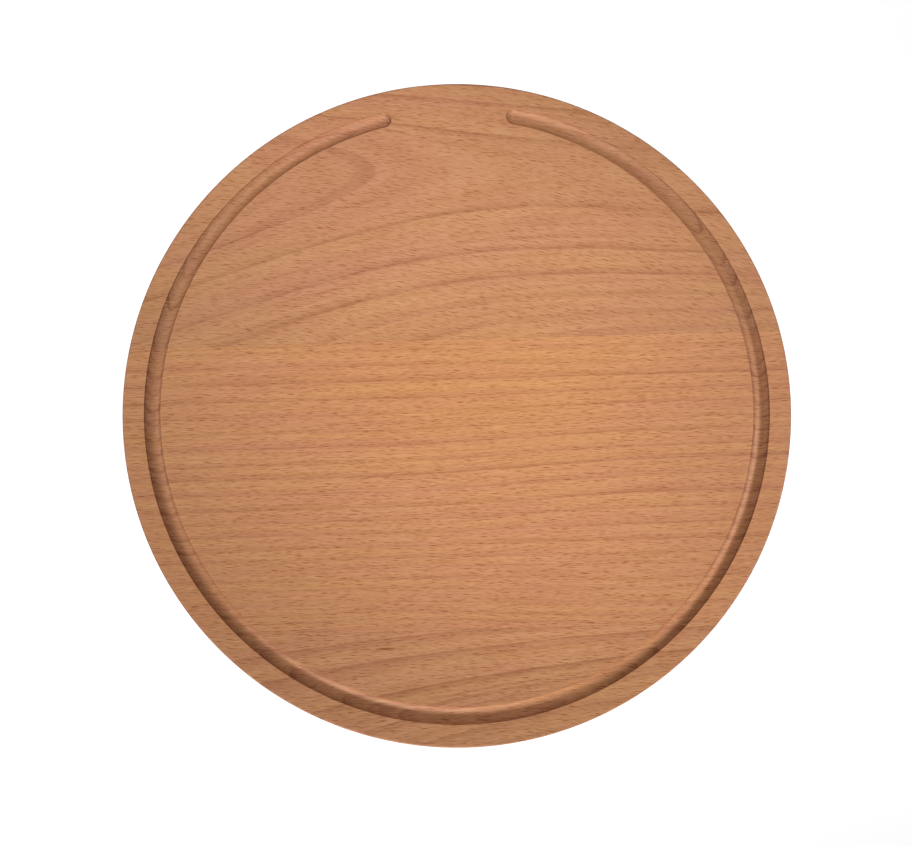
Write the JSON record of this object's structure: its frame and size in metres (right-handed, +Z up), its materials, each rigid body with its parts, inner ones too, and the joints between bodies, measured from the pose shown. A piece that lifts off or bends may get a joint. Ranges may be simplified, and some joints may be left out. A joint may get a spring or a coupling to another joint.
{
  "type": "pizza board",
  "caption": "Round wooden board of edge-glued staves, with a juice groove round the rim that stops on each side of a gap, for serving and cutting a pizza.",
  "frame": {"origin": "centre of the round underside, on the surface that the board lies on", "axes": "+Z up, square to the board's two flat faces; +Y from the centre to the middle of the gap in the juice groove; +X along the grain and the glue lines"},
  "size_m": [0.34, 0.34, 0.018],
  "materials": {
    "head_stave": "sanded and oiled beech, matt, flat-sawn",
    "centre_stave": "sanded and oiled beech, matt, straight-grained",
    "foot_stave": "sanded and oiled beech, matt, flat-sawn"
  },
  "bodies": {
    "root": {"head_stave": "head_stave", "centre_stave": "centre_stave", "foot_stave": "foot_stave"}
  },
  "joints": []
}
